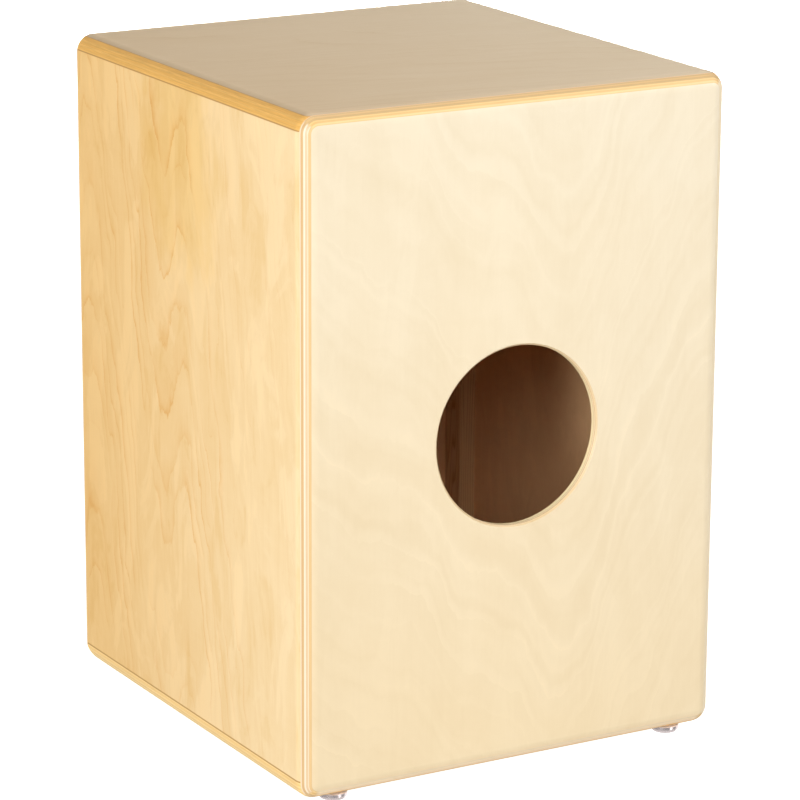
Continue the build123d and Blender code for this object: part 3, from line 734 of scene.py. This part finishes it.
# pale backdrop beyond the object, so grazing edges do not go dark
w_dot2 = wn.nodes.new("ShaderNodeVectorMath")
w_dot2.operation = "DOT_PRODUCT"
wn.links.new(w_tc.outputs["Generated"], w_dot2.inputs[0])
w_dot2.inputs[1].default_value = Vector((-0.481, -0.835, -0.268)).normalized()
w_back = wn.nodes.new("ShaderNodeMapRange")
w_back.interpolation_type = "SMOOTHSTEP"
w_back.inputs["From Min"].default_value = 0.92
w_back.inputs["From Max"].default_value = 0.98
w_back.inputs["To Min"].default_value = 0.0
w_back.inputs["To Max"].default_value = W_BACK
wn.links.new(w_dot2.outputs["Value"], w_back.inputs["Value"])
w_add2 = wn.nodes.new("ShaderNodeMath")
w_add2.operation = "ADD"
wn.links.new(w_add.outputs[0], w_add2.inputs[0])
wn.links.new(w_back.outputs[0], w_add2.inputs[1])
# white card off the right side, met by reflections in the far upright edge
w_dot3 = wn.nodes.new("ShaderNodeVectorMath")
w_dot3.operation = "DOT_PRODUCT"
wn.links.new(w_tc.outputs["Generated"], w_dot3.inputs[0])
w_dot3.inputs[1].default_value = Vector((-0.93, -0.25, -0.27)).normalized()
w_right = wn.nodes.new("ShaderNodeMapRange")
w_right.interpolation_type = "SMOOTHSTEP"
w_right.inputs["From Min"].default_value = 0.84
w_right.inputs["From Max"].default_value = 0.95
w_right.inputs["To Min"].default_value = 0.0
w_right.inputs["To Max"].default_value = W_RIGHT
wn.links.new(w_dot3.outputs["Value"], w_right.inputs["Value"])
w_add3 = wn.nodes.new("ShaderNodeMath")
w_add3.operation = "ADD"
wn.links.new(w_add2.outputs[0], w_add3.inputs[0])
wn.links.new(w_right.outputs[0], w_add3.inputs[1])
w_light = wn.nodes.new("ShaderNodeBackground")
wn.links.new(w_add3.outputs[0], w_light.inputs[1])
w_seen = wn.nodes.new("ShaderNodeBackground")
w_seen.inputs[0].default_value = (1, 1, 1, 1)
w_seen.inputs[1].default_value = 1.0
w_mix = wn.nodes.new("ShaderNodeMixShader")
w_path = wn.nodes.new("ShaderNodeLightPath")
wn.links.new(w_path.outputs["Is Camera Ray"], w_mix.inputs[0])
wn.links.new(w_light.outputs[0], w_mix.inputs[1])
wn.links.new(w_seen.outputs[0], w_mix.inputs[2])
wn.links.new(w_mix.outputs[0], w_out.inputs[0])


def area(name, loc, target, size, power, color=(1, 1, 1)):
    ld = bpy.data.lights.new(name, "AREA")
    ld.shape = "RECTANGLE"
    ld.size, ld.size_y = size
    ld.energy = power
    ld.color = color
    o = bpy.data.objects.new(name, ld)
    bpy.context.scene.collection.objects.link(o)
    o.location = loc
    d = Vector(target) - Vector(loc)
    o.rotation_euler = d.to_track_quat("-Z", "Y").to_euler()
    o.visible_camera = False
    return o


area("key_high_right", (-2.2, 1.6, 2.2), (0, 0, 0.3), (1.6, 1.6), 65)
area("side_soft_box", (2.95, 1.95, 0.74), (0.1, 0.05, 0.22), (1.4, 1.5), 110)
area("left_rear_fill", (1.8, 2.8, 1.65), (0, 0.15, 0.2), (1.3, 1.3), 30)
area("top_soft_box", (-0.5, -0.7, 2.5), (0, 0, 0.43), (1.2, 1.2), 8.0)
area("front_low_fill", (-1.3, -2.7, 0.24), (0, -0.1, 0.24), (1.4, 0.34), 70)

# ---------------------------------------------------------------- camera
cam_data = bpy.data.cameras.new("camera")
cam_data.sensor_width = 36.0
cam_data.lens = 176.913
cam_data.clip_end = 100
cam = bpy.data.objects.new("camera", cam_data)
bpy.context.scene.collection.objects.link(cam)
cx = Vector((-0.867303, 0.497758, 0.00473)).normalized()
cz = Vector((0.480702, 0.835041, 0.267643)).normalized()
cy = cz.cross(cx).normalized()
cx = cy.cross(cz).normalized()
m = Matrix((cx, cy, cz)).transposed().to_4x4()
m.translation = Vector((1.22115, 2.13019, 0.88089 + Z_BOT / 1000))
cam.matrix_world = m
bpy.context.scene.camera = cam

bpy.context.scene.view_settings.view_transform = "Standard"
bpy.context.scene.view_settings.look = "None"
bpy.context.scene.view_settings.exposure = 0.0
bpy.context.scene.view_settings.gamma = 1.0
